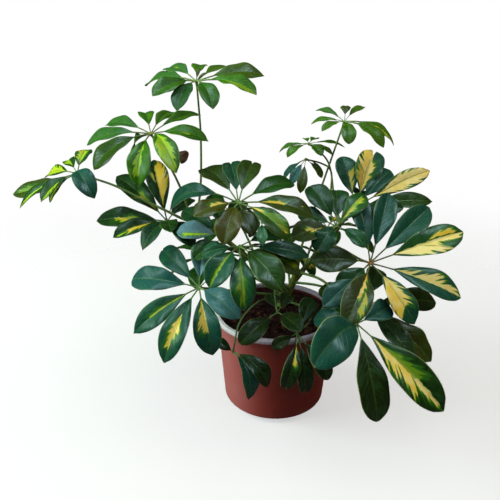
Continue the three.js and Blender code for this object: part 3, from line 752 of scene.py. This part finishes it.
def addLeaflet(parts, leaf, row, look, chance):
    azimuth, elevation, reach, width, *bends = row
    bow, roll = (*bends, *usualBends[len(bends):])
    hub = np.array(leaf["hub"], float)
    chord = heading(azimuth, elevation)
    upper = heading(*leaf["facing"])
    upper = unit(upper - upper.dot(chord) * chord)
    upper = np.array(Matrix.Rotation(math.radians(roll), 3, Vector(chord)) @ Vector(upper))
    side = unit(np.cross(upper, chord))
    tip = hub + chord * reach
    crown = hub + chord * reach / 2 + upper * 2 * bow * reach
    bare = look.get("bare", leaf["bareShare"])

    def midrib(t):
        t = t[:, None]
        centre = (1 - t) ** 2 * hub + 2 * t * (1 - t) * crown + t**2 * tip
        return centre, unit((1 - t) * (crown - hub) + t * (tip - crown))

    shape = {**bladeShape, **look}
    style = look.get("tip", "round")
    length = reach * (1 - bare)
    half = width / 2 * shape["width"]
    along = 1 - (1 - np.linspace(0, 1, shape["stations"] + 1)) ** 1.4
    centre, ahead = midrib(bare + (1 - bare) * along)
    s = along[:, None]
    u = np.array(acrossBlade, float)[None, :]
    away = np.abs(u)
    spin = np.radians(shape["twist"] * chance.uniform(-1, 1)) * s
    flat = np.cross(ahead, side)
    sideways = np.cos(spin) * side + np.sin(spin) * flat
    normal = np.cos(spin) * flat - np.sin(spin) * side
    swing = shape["sweep"] * chance.uniform(-1, 1) * s**2 + shape["arc"] * 4 * s * (1 - s)
    centre = centre + side * swing * length
    centre = centre - flat * shape["tipDroop"] * length * np.clip((s - 0.55) / 0.45, 0, 1) ** 2

    lean = 1 + shape["uneven"] * chance.uniform(-1, 1) * np.sign(u)
    across = u * half * bladeWidths(along, style, shape["widest"])[:, None] * lean
    halves = np.abs(across) / np.maximum(away, 0.01)
    fold = shape["fold"] + shape["foldSpread"] * chance.uniform(-1, 1)
    rise = halves * (fold * (np.sqrt(away**2 + 0.006) - 0.077) - shape["curl"] * away**3)
    phase = np.where(u > 0, chance.uniform(0, 6), chance.uniform(0, 6))
    ripple = np.sin(2 * np.pi * chance.uniform(1.4, 2.4) * s + phase)
    rise = rise + shape["wave"] * half * ripple * away**2 * np.sin(np.pi * np.clip(s * 1.05, 0, 1))
    back = look.get("notch", 0.09 if style == "notch" else 0) * length
    pull = back * np.exp(-((u / 0.3) ** 2)) * np.clip((s - 0.75) / 0.25, 0, 1) ** 2

    def lift(values):
        return values[:, :, None] * normal[:, None, :]

    sheet = centre[:, None, :] + across[:, :, None] * sideways[:, None, :] + lift(rise)
    sheet = sheet - pull[:, :, None] * ahead[:, None, :]
    depth = shape["thickness"] / 2 * np.sqrt(np.clip(1 - away**8, 0, 1)) * np.ones_like(s)
    groove = np.exp(-((u / 0.07) ** 2)) * np.clip(1.05 - s, 0, 1)
    upperSide = sheet + lift(depth - shape["midribDepth"] * groove)
    underSide = sheet - lift(depth + shape["midribRidge"] * groove * (u == 0))
    ring = np.concatenate([upperSide, underSide[:, -2:0:-1]], axis=1)[:-1]
    rings, count = ring.shape[:2]
    columns = np.concatenate([u[0], u[0, -2:0:-1]])
    points = np.concatenate([ring.reshape(-1, 3), [centre[-1] - ahead[-1] * back]])
    last = (rings - 1) * count
    faces = ringFaces(rings, count) + [tuple(reversed(range(count)))]
    faces += [(last + i, last + (i + 1) % count, len(points) - 1) for i in range(count)]
    top = len(acrossBlade) - 1
    kinds = [finishes["upper"]] * top + [finishes["under"]] * (count - top)
    finish = kinds * (rings - 1) + [finishes["under"]] + kinds
    places = np.stack([np.tile(columns, rings), np.repeat(along[:-1], count)], axis=1)
    places = np.concatenate([places, [[0, 1]]])
    seed = chance.random()
    data = lookData(look, leaf, chance)
    data["bladePlace"] = np.concatenate([places, np.full((len(places), 1), seed)], axis=1)
    addPart(parts, points, faces, finish, data)

    swelling = shape["stalkRadius"] * np.array(stalkShape["swelling"])
    stalk, _ = midrib(np.linspace(0, bare + 0.04, len(swelling)))
    radii = swelling * np.clip(width / stalkShape["fullWidth"], 0.3, 1.15)
    data = stalkData(data, leaf, np.linspace(1, 0.5, len(swelling)), stalkShape["sides"], seed)
    addTube(parts, stalk, radii, stalkShape["sides"], finishes["stalk"], data)


def evenLeaflets(count, firstAzimuth, elevation, reach, width, chance):
    # the ring of leaflets of a leaf at the back, some with a patch on one side
    leaflets = []
    for i in range(count):
        look = {"tip": chance.choice(["round", "round", "blunt"])}
        if chance.random() < 0.6:
            side = chance.choice([-1, 1])
            start = chance.uniform(0, 0.2)
            patch = (0, side * chance.uniform(0.25, 0.7), start, start + chance.uniform(0.4, 0.7),
                     chance.choice([0, 0.35, 0.5]))
            look["patches"] = [patch]
        bearing = firstAzimuth + 360 * i / count
        row = (bearing, elevation + 6 * math.sin(2 * i), reach * (1 - 0.1 * math.cos(3 * i)), width, 0.12)
        leaflets.append((row, look))
    return leaflets


def finishMesh(name, parts, materials):
    mesh = bpy.data.meshes.new(name)
    mesh.from_pydata((np.concatenate(parts["points"]) * mm).tolist(), [], parts["faces"])
    for label, values in parts["data"].items():
        setLayer(mesh, label, np.concatenate(values))
    for material in materials:
        mesh.materials.append(material)
    mesh.polygons.foreach_set("material_index", parts["finishes"])
    mesh.shade_smooth()
    mesh.update()
    return addObject(name, mesh)


def setLayer(mesh, label, values):
    layer = mesh.attributes.new(label, "FLOAT_VECTOR", "POINT")
    layer.data.foreach_set("vector", values.astype(np.float32).ravel())


def standFor(piece, node):
    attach(piece, "root")
    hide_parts(node)


def makeLeaf(name, leaf, seed, materials):
    chance = random.Random(seed)
    parts = newParts()
    leaf = {**usualLeaf, **leaf}
    leaflets = evenLeaflets(*leaf["even"], chance) if "even" in leaf else leaf["leaflets"]
    shape = petioleShape
    path = smoothPath([*leaf["petiole"], leaf["hub"]], shape["steps"])
    share = np.linspace(0, 1, len(path))
    radii = shape["baseRadius"] + (shape["topRadius"] - shape["baseRadius"]) * share
    radii = radii + (shape["foot"] - shape["baseRadius"]) * np.exp(-((share / shape["footFade"]) ** 2))
    swelling = shape["hub"] * np.exp(-(((1 - share) / shape["hubFade"]) ** 2))
    radii = np.maximum(radii, swelling) * leaf["slim"]
    path = np.concatenate([path, [path[-1] + unit(path[-1] - path[-2]) * shape["beyondHub"]]])
    radii = np.append(radii, shape["endRadius"])
    data = lookData({}, leaf, chance)
    data = stalkData(data, leaf, np.append(share, 1), shape["sides"], chance.random())
    addTube(parts, path, radii, shape["sides"], finishes["stalk"], data)
    for row, look in leaflets:
        addLeaflet(parts, leaf, row, look, chance)
    node = "".join("_" + letter.lower() if letter.isupper() else letter for letter in name)
    standFor(finishMesh(name, parts, materials), node)


# what the leaves are painted with, as red, green and blue from 0 to 255; the two bluish greens are painted
# sheen, the bluish reflection of the window on glossy blades
leafColours = {
    "dark": (12, 38, 14), "mid": (30, 92, 16), "bright": (82, 150, 12), "olive": (72, 62, 12),
    "paintedSheen": (22, 84, 82), "paintedSilverSheen": (112, 158, 172), "halo": (48, 110, 20), "speck": (150, 170, 140),
    "blotch": (50, 106, 46), "vein": (52, 106, 40), "midrib": (104, 140, 56), "margin": (150, 166, 100),
    "dryTip": (112, 74, 38), "underside": (90, 116, 50),
}
# how strongly each of them covers what is under it
leafCover = {
    "olive": 0.8, "paintedSheen": 0.62, "paintedSilverSheen": 0.85, "halo": 0.09, "speck": 0.3, "blotch": 0.2, "vein": 0.22,
    "midrib": 0.25, "margin": 0.7, "dryTip": 0.8, "zone": 0.7, "fringe": 0.62,
}
leafMottle = {
    "scale": 95.0, "shade": 0.13, "silverSheenBand": (1.1, 2.3), "silverSheenGrain": (0.2, 0.55, 0.6, 1),
    "dryTip": (0.978, 0.998), "dryFrom": 0.6, "grainHeight": 0.05, "cloudHeight": 0.35, "bump": (0.5, 0.0006),
}
bladeSides = {
    "leafUpper": {
        "finish": {"Specular IOR Level": 0.45, "Coat Weight": 0.05, "Coat Roughness": 0.15}, "rough": 0.25,
        "cloudRough": 0.1, "paleRough": 0.08, "veinHeight": -0.45, "underside": 0},
    "leafUnder": {
        "finish": {"Specular IOR Level": 0.35}, "rough": 0.5,
        "cloudRough": 0.12, "paleRough": 0, "veinHeight": 0.7, "underside": 0.6},
}
paleColours = {
    "lime": (158, 204, 34), "yellow": (242, 206, 52), "cream": (250, 232, 146), "orange": (240, 168, 34),
    "dry": (96, 62, 40),
}
# between which hues each of them comes to cover the one before
paleBands = {"yellow": (0, 0.35), "cream": (0.35, 0.7), "orange": (0.75, 1.0), "dry": (1.2, 1.4)}


def makePaleHueGroup():
    (hue, cloud), result = newGroup("paleHue", ("Hue", "Cloud"), ["Colour"], "NodeSocketColor")
    hue = (cloud - 0.5) * 0.16 + hue
    shares = {label: remap(hue, *band) for label, band in paleBands.items()}
    feed(result["Colour"], coverWith(tint(paleColours["lime"]), paleColours, shares))


def makeBladeMaterial(name):
    kind = bladeSides[name]
    material, tree = newMaterial(name)
    across, along, seed = readAttribute(tree, "bladePlace")
    tone, olive, blue = readAttribute(tree, "leafTone")
    veins = useGroup(tree, "bladeVeins", Across=across, Along=along, Seed=seed)
    mottle = useGroup(tree, "mottle", Scale=leafMottle["scale"])
    shade = (mottle["Cloud"] - 0.5) * leafMottle["shade"] + tone
    green = coverWith(tint(leafColours["dark"]), leafColours, {
        "mid": remap(shade, 0, 0.5, kind="LINEAR"), "bright": remap(shade, 0.5, 1, kind="LINEAR")})

    def cover(green, masks):
        shares = {label: mask * leafCover[label] for label, mask in masks.items()}
        return coverWith(green, leafColours, shares)

    # the leaflet's sheen value lays on a painted bluish sheen, and past a threshold a painted silvery
    # reflection
    green = cover(green, {
        "olive": olive, "paintedSheen": blue,
        "paintedSilverSheen": remap(blue, *leafMottle["silverSheenBand"]) * remap(mottle["Grain"], *leafMottle["silverSheenGrain"]),
        "halo": mottle["Grain"], "speck": mottle["Speck"], "blotch": veins["Blotch"], "vein": veins["Vein"]})
    palest = 0
    for patchName in patchNames:
        anchor, spread, start = readAttribute(tree, patchName)
        end, hue, strength = readAttribute(tree, patchName + "End")
        patch = useGroup(tree, "variegation", Across=across, Along=along, Seed=seed, Anchor=anchor,
                         Spread=spread, Start=start, End=end)
        pale = useGroup(tree, "paleHue", Hue=hue, Cloud=mottle["Cloud"])
        mask = patch["Mask"] * strength
        green = mixColour(patch["Zone"] * leafCover["zone"], green, tint(leafColours["halo"]))
        fringe = patch["Fringe"] * strength * leafCover["fringe"]
        green = mixColour(fringe, green, tint(paleColours["lime"]))
        green = mixColour(mask, green, pale["Colour"])
        palest = mask.math("MAXIMUM", palest)
    dry = remap(along, *leafMottle["dryTip"]) * seed.math("GREATER_THAN", leafMottle["dryFrom"])
    green = cover(green, {"midrib": veins["Midrib"], "margin": veins["Margin"], "dryTip": dry})
    green = mixColour(kind["underside"], green, tint(leafColours["underside"]))
    rough = mottle["Cloud"] * kind["cloudRough"] + kind["rough"] + palest * kind["paleRough"]
    height = mottle["Grain"] * leafMottle["grainHeight"] + mottle["Cloud"] * leafMottle["cloudHeight"]
    height = height + veins["Vein"] * kind["veinHeight"]
    look = {"Base Color": green, "Roughness": rough, **kind["finish"]}
    setShader(material, look, height, *leafMottle["bump"])
    return material


stalkColours = {
    "deep": (108, 146, 84), "green": (136, 168, 92), "brown": (104, 56, 34), "hub": (176, 112, 34),
    "speck": (150, 140, 96),
}
# how strongly its colours show, how much of the grain its roughness takes and from which value on, and
# its bump's strength and depth in metres
stalkFinish = {
    "scale": 160.0, "brownCloud": 0.3, "brownRed": 0.5, "brownFrom": 0.2, "hubRed": 0.3,
    "hubRipe": (0.86, 1.0), "speck": 0.5, "rough": (0.2, 0.36),
    "shader": {"Specular IOR Level": 0.4, "Coat Weight": 0.1}, "bump": (0.3, 0.0005),
}


def makeStalkMaterial():
    finish = stalkFinish
    material, tree = newMaterial("leafStalk")
    tone, red, _ = readAttribute(tree, "leafTone")
    near = readAttribute(tree, "bladePlace")[1]
    mottle = useGroup(tree, "mottle", Scale=finish["scale"])
    brown = mottle["Cloud"] * finish["brownCloud"] + (red * finish["brownRed"] - finish["brownFrom"])
    ripe = remap(near, *finish["hubRipe"]) * (red - finish["hubRed"])
    colour = coverWith(tint(stalkColours["deep"]), stalkColours, {
        "green": tone, "brown": brown, "hub": ripe, "speck": mottle["Speck"] * finish["speck"]})
    return finishMaterial(material, finish, mottle, colour, mottle["Grain"])


# the stem forks into three; points and radii in millimetres
stemRuns = [
    ([(7, 20, 100), (9, 19, 130), (18, 21, 150), (27, 22, 172), (31, 25, 205)], (6.5, 4)),
    ([(18, 21, 152), (-25, 24, 192), (-75, 16, 240), (-113, 5, 269)], (4, 3)),
    ([(24, 22, 165), (48, 22, 200), (75, 22, 235), (88, 22, 258)], (4, 3)),
]
stemShape = {
    "sides": 28, "step": 1.0, "scarEvery": 13, "scarRise": 0.09, "lump": 0.05, "grain": 0.8, "foot": 2.2,
    "footHeight": 128, "footFade": 7, "end": 0.6, "seed": 61,
}
stemColours = {
    "young": (122, 146, 44), "old": (98, 120, 44), "scar": (160, 150, 88), "lenticel": (176, 168, 112),
}
stemFinish = {
    "scale": 110.0, "age": (0.0, 0.8, 0.85, 0.1), "ageCloud": 0.3, "scar": 0.55, "lenticel": 0.8,
    "lenticelHeight": 0.7, "rough": (0.25, 0.45), "shader": {}, "bump": (0.5, 0.0006),
}


def makeStem(material):
    parts = newParts()
    chance = random.Random(stemShape["seed"])
    paths = []
    for points, (base, top) in stemRuns:
        rough = smoothPath(points, 60)
        length = np.linalg.norm(np.diff(rough, axis=0), axis=1).sum()
        path = smoothPath(points, int(length / stemShape["step"]))
        distance = np.linspace(0, length, len(path))
        share = distance / length
        phase = (distance + chance.uniform(0, 8)) % stemShape["scarEvery"]
        scar = np.exp(-((phase / 1.1) ** 2)) + 0.6 * np.exp(-(((phase - 2.2) / 0.8) ** 2))
        lumps = np.sin(distance * 0.21 + chance.uniform(0, 6)) * stemShape["lump"]
        radii = (base + (top - base) * share) * (1 + stemShape["scarRise"] * scar + lumps)
        if not paths:
            away = np.abs(path[:, 2] - stemShape["footHeight"])
            radii = radii + stemShape["foot"] * np.exp(-away / stemShape["footFade"])
        radii[-1] *= stemShape["end"]
        addTube(parts, path, radii, stemShape["sides"], 0, {"stemPlace": (0, 0, 0)})
        paths.append(np.concatenate([path, scar[:, None], share[:, None]], axis=1))
    rough = finishMesh("stemRough", parts, [])
    melt = rough.modifiers.new("melt", "REMESH")
    melt.mode = "VOXEL"
    melt.voxel_size = stemShape["grain"] * mm
    melt.use_smooth_shade = True
    rough.modifiers.new("soften", "SMOOTH").iterations = 2
    piece = settle(rough, "stem", material)
    near = np.concatenate(paths)
    points = np.empty(len(piece.data.vertices) * 3)
    piece.data.vertices.foreach_get("co", points)
    points = points.reshape(-1, 3) / mm
    closest = ((points[:, None, :] - near[None, :, :3]) ** 2).sum(axis=2).argmin(axis=1)
    setLayer(piece.data, "stemPlace", np.append(near[closest, 3:], np.zeros((len(points), 1)), axis=1))
    standFor(piece, "stem")


def settle(piece, name, material):
    # a plain mesh object of one material in place of one that carries modifiers
    bpy.context.view_layer.update()
    seen = piece.evaluated_get(bpy.context.evaluated_depsgraph_get())
    mesh = bpy.data.meshes.new_from_object(seen)
    mesh.name = name
    old = piece.data
    bpy.data.objects.remove(piece)
    bpy.data.meshes.remove(old)
    mesh.materials.clear()
    mesh.materials.append(material)
    return addObject(name, mesh)


def makeStemMaterial():
    finish = stemFinish
    material, tree = newMaterial("greenStem")
    scar, share, _ = readAttribute(tree, "stemPlace")
    mottle = useGroup(tree, "mottle", Scale=finish["scale"])
    colour = coverWith(tint(stemColours["young"]), stemColours, {
        "old": remap(share, *finish["age"]) + mottle["Cloud"] * finish["ageCloud"],
        "scar": scar * finish["scar"], "lenticel": mottle["Speck"] * finish["lenticel"]})
    height = mottle["Speck"] * finish["lenticelHeight"] + mottle["Grain"]
    return finishMaterial(material, finish, mottle, colour, height)


# the pot's section, as radius and height in millimetres, from its floor's middle out, up and back in
potSection = [
    (0, 1.2), (40, 1.2), (54, 1.2), (56, 0), (61, 0), (71.5, 8), (80.5, 130), (84, 131.5), (84, 136.5),
    (82.5, 138), (78, 138), (77.6, 130), (68.9, 10.6), (58.4, 2.6), (0, 2.6),
]
potShape = {
    "sides": 144, "step": 9, "height": 138, "unevenness": 0.25, "bevel": 0.9, "bevelAngle": 24,
    "holes": 6, "holeRadius": 4.5, "holeCircle": 44, "drill": (-4, -1, 2, 5, 8),
}
# colours of the plastic; the pale pink of the lit side and the lip's lavender and white are painted light
potColours = {
    "plastic": (166, 54, 44), "deep": (124, 34, 26), "faded": (184, 92, 82), "paintedRimReflection": (196, 190, 208),
    "paintedRimGlare": (250, 250, 250), "paintedLitSide": (212, 142, 138), "dust": (168, 128, 112), "insideDark": (74, 36, 30),
}
# where the pot is painted lighter on its lit side, darker inside its wall line and dusty, and where its lip
# takes a painted reflection, in radians and metres, and how much
potFinish = {
    "scale": 22.0, "fineScale": 120.0, "deep": 0.35, "faded": 0.1, "litSideAt": -0.35,
    "litSideSpread": (1.25, 0.2), "litSideShare": 0.5, "litSideCloud": (0.8, 1), "wallBase": 0.0709,
    "wallSlope": 0.0738, "insideDark": (-0.0012, -0.0022), "insideDarkCloud": (0.7, 0.95), "dustHeight": (0.022, 0),
    "dustGrain": (0.4, 0.6), "dust": 0.35, "specks": 0.4, "lip": (0.1318, 0.1345),
    "rimReflectionGrain": (0.25, 0.5, 0.55, 1.0), "paintedRimGlare": 1.8, "dustRough": 0.3, "grainHeight": 0.5,
    "cloudHeight": 0.7, "rough": (0.16, 0.36), "shader": {"Specular IOR Level": 0.5}, "bump": (0.25, 0.0005),
}


def makePot(material):
    sides = potShape["sides"]
    section = []
    for (r0, z0), (r1, z1) in zip(potSection, potSection[1:]):
        steps = max(1, round(math.hypot(r1 - r0, z1 - z0) / potShape["step"]))
        section += [(r0 + (r1 - r0) * i / steps, z0 + (z1 - z0) * i / steps) for i in range(steps)]
    section.append(potSection[-1])
    inner = section[1:-1]
    angles = 2 * np.pi * np.arange(sides) / sides
    rings = []
    for radius, z in inner:
        sway = potShape["unevenness"] * z / potShape["height"]
        radii = radius + sway * (np.sin(2 * angles + 0.7) + 0.5 * np.sin(3 * angles + z / 40))
        level = np.full(sides, float(z))
        rings.append(np.stack([radii * np.cos(angles), radii * np.sin(angles), level], axis=1))
    points = np.concatenate([*rings, [(0, 0, section[0][1]), (0, 0, section[-1][1])]])
    first = len(points) - 2
    last = first - sides
    faces = ringFaces(len(inner), sides)
    faces += [(first, (i + 1) % sides, i) for i in range(sides)]
    faces += [(first + 1, last + i, last + (i + 1) % sides) for i in range(sides)]
    parts = newParts()
    addPart(parts, points, faces, 0, {})
    blank = finishMesh("potBlank", parts, [])
    drills = newParts()
    for i in range(potShape["holes"]):
        angle = 2 * math.pi * i / potShape["holes"]
        centre = np.array([math.cos(angle), math.sin(angle)]) * potShape["holeCircle"]
        path = [(*centre, z) for z in potShape["drill"]]
        addTube(drills, path, [potShape["holeRadius"]] * len(path), 32, 0, {})
    drill = finishMesh("potDrill", drills, [])
    cut = blank.modifiers.new("drain", "BOOLEAN")
    cut.operation = "DIFFERENCE"
    cut.solver = "EXACT"
    cut.object = drill
    edge = blank.modifiers.new("edge", "BEVEL")
    edge.width = potShape["bevel"] * mm
    edge.segments = 3
    edge.limit_method = "ANGLE"
    edge.angle_limit = math.radians(potShape["bevelAngle"])
    piece = settle(blank, "pot", material)
    bpy.data.objects.remove(drill)
    piece.data.shade_smooth()
    standFor(piece, "pot")


def makePotMaterial():
    finish = potFinish
    material, tree = newMaterial("potPlastic")
    x, y, z = splitVector(tree, objectPlace(tree))
    mottle = useGroup(tree, "mottle", Scale=finish["scale"])
    fine = useGroup(tree, "mottle", Scale=finish["fineScale"])
    # painted light: the left side, towards the window lamp, is painted a paler pink
    apart = abs(y.math("ARCTAN2", x * -1) - finish["litSideAt"])
    litSideShare = remap(apart, *finish["litSideSpread"], 0, finish["litSideShare"])
    litSideShare = litSideShare * remap(mottle["Cloud"], 0, 1, *finish["litSideCloud"])
    # the pot is darker wherever it lies inside the line of its outer wall: the inner wall, the inside of the
    # rim and underneath
    inside = (x * x + y * y).math("SQRT") - (z * finish["wallSlope"] + finish["wallBase"])
    insideDark = remap(inside, *finish["insideDark"]) * remap(fine["Cloud"], 0, 1, *finish["insideDarkCloud"])
    dust = remap(z, *finish["dustHeight"]) * remap(fine["Grain"], *finish["dustGrain"]) * finish["dust"]
    dust = dust.math("MAXIMUM", fine["Speck"] * finish["specks"])
    colour = coverWith(tint(potColours["plastic"]), potColours, {
        "deep": mottle["Cloud"] * finish["deep"], "faded": fine["Cloud"] * finish["faded"],
        "paintedLitSide": litSideShare, "insideDark": insideDark, "dust": dust})
    # painted reflection: the lip's top band is painted a pale lavender sky reflection, which turns to a
    # painted white glare on the lit side
    paintedRimReflection = remap(z, *finish["lip"]) * remap(mottle["Grain"], *finish["rimReflectionGrain"])
    rim = coverWith(tint(potColours["paintedRimReflection"]), potColours, {"paintedRimGlare": litSideShare * finish["paintedRimGlare"]})
    height = fine["Grain"] * finish["grainHeight"] + mottle["Cloud"] * finish["cloudHeight"]
    colour = mixColour(paintedRimReflection, colour, rim)
    return finishMaterial(material, finish, mottle, colour, height, dust * finish["dustRough"])


# soil: a lumpy crown with crumbs, bark chips and a few pale grains on it, lengths in millimetres
soilShape = {
    "radius": 76.8, "edge": 130, "crown": 1.5, "floor": 2.9, "heel": 68.3, "heelHeight": 10.9, "foot": 57.4,
    "rings": 64, "sides": 150, "lump": 2.0, "lumpWidth": 17, "bitWidth": 4.2, "seed": 77,
}
# how many of each lie on it, from which size to which, how flat, and their material
soilBits = [(720, (0.8, 2.6), 0.8, 0), (110, (2.2, 5.5), 0.3, 1), (26, (0.9, 2.0), 0.85, 2)]
soilColours = {"earth": (54, 30, 27), "damp": (24, 12, 13), "chip": (92, 56, 40), "grain": (160, 146, 136)}
# for each material: its colour, its darker one and its roughness
soilSorts = {
    "pottingSoil": ("earth", "damp", 0.8), "barkChip": ("chip", "earth", 0.7),
    "paleGrain": ("grain", "chip", 0.75),
}
soilFinish = {"scale": 130.0, "speck": 0.5, "grain": 0.15, "gloss": 0.25, "bump": (0.8, 0.0012)}


def soilHeight(x, y):
    slow = noise.fractal(Vector((x / soilShape["lumpWidth"], y / soilShape["lumpWidth"], 3.1)), 0.9, 2.0, 3)
    quick = noise.fractal(Vector((x / soilShape["bitWidth"], y / soilShape["bitWidth"], 8.4)), 0.8, 2.0, 3)
    away = math.hypot(x, y) / soilShape["radius"]
    crown = soilShape["crown"] * (1 - away)
    lumps = soilShape["lump"] * (0.7 * slow + 0.35 * quick) * min(1, 6 * (1.02 - away))
    return soilShape["edge"] + crown + lumps


def addCrumb(parts, chance, centre, size, flat, finish):
    ball = bmesh.new()
    bmesh.ops.create_icosphere(ball, subdivisions=1, radius=1)
    turn = Matrix.Rotation(chance.uniform(0, 6.3), 3, "Z")
    turn = turn @ Matrix.Rotation(chance.uniform(-0.5, 0.5), 3, "X")
    stretch = (chance.uniform(0.8, 1.3), chance.uniform(0.6, 1.0), flat * chance.uniform(0.7, 1.1))
    points = []
    for vertex in ball.verts:
        place = Vector([a * b for a, b in zip(vertex.co, stretch)]) * chance.uniform(0.82, 1.15)
        points.append(np.array(turn @ place) * size + centre)
    faces = [tuple(vertex.index for vertex in face.verts) for face in ball.faces]
    ball.free()
    addPart(parts, np.array(points), faces, finish, {})


def makeSoil(materials):
    chance = random.Random(soilShape["seed"])
    parts = newParts()
    sides = soilShape["sides"]
    angles = 2 * np.pi * np.arange(sides) / sides
    circles = [(soilShape["radius"] * i / soilShape["rings"], None) for i in range(1, soilShape["rings"] + 1)]
    circles += [(soilShape["heel"], soilShape["heelHeight"]), (soilShape["foot"], soilShape["floor"])]
    points = []
    for radius, level in circles:
        for angle in angles:
            x, y = radius * math.cos(angle), radius * math.sin(angle)
            points.append((x, y, soilHeight(x, y) if level is None else level))
    count = len(points)
    last = count - sides
    points += [(0, 0, soilHeight(0, 0)), (0, 0, soilShape["floor"])]
    faces = [tuple(reversed(face)) for face in ringFaces(len(circles), sides)]
    faces += [(count, i, (i + 1) % sides) for i in range(sides)]
    faces += [(count + 1, last + (i + 1) % sides, last + i) for i in range(sides)]
    addPart(parts, np.array(points), faces, 0, {})
    for amount, sizes, flat, finish in soilBits:
        for _ in range(amount):
            size = chance.uniform(*sizes)
            away = (soilShape["radius"] - size - 1) * math.sqrt(chance.random())
            angle = chance.uniform(0, 2 * math.pi)
            x, y = away * math.cos(angle), away * math.sin(angle)
            centre = np.array([x, y, soilHeight(x, y) + size * flat * 0.25])
            addCrumb(parts, chance, centre, size, flat, finish)
    standFor(finishMesh("soil", parts, materials), "soil")


def makeSoilMaterial(name):
    colour, deep, roughness = soilSorts[name]
    finish = {
        **soilFinish, "rough": (soilFinish["grain"], roughness),
        "shader": {"Specular IOR Level": soilFinish["gloss"]}}
    material, tree = newMaterial(name)
    mottle = useGroup(tree, "mottle", Scale=finish["scale"])
    mixed = coverWith(tint(soilColours[deep]), soilColours, {colour: mottle["Cloud"]})
    mixed = coverWith(mixed, soilColours, {"chip": mottle["Speck"] * finish["speck"]})
    return finishMaterial(material, finish, mottle, mixed, mottle["Grain"])


makeCamera()
makeLights()
makeWorld()
makeFloor()
print("camera, lights and floor are set")

makeVariegationGroup()
makeVeinGroup()
makeMottleGroup()
makePaleHueGroup()
leafMaterials = [*map(makeBladeMaterial, bladeSides), makeStalkMaterial()]
print("leaf materials are made")

makePot(makePotMaterial())
makeSoil([makeSoilMaterial(sort) for sort in soilSorts])
print("pot and soil are made")

makeStem(makeStemMaterial())
for leafSeed, (leafName, leafPlan) in enumerate(leaves.items(), 1):
    makeLeaf(leafName, leafPlan, leafSeed, leafMaterials)
print(f"stem and {len(leaves)} leaves are made")
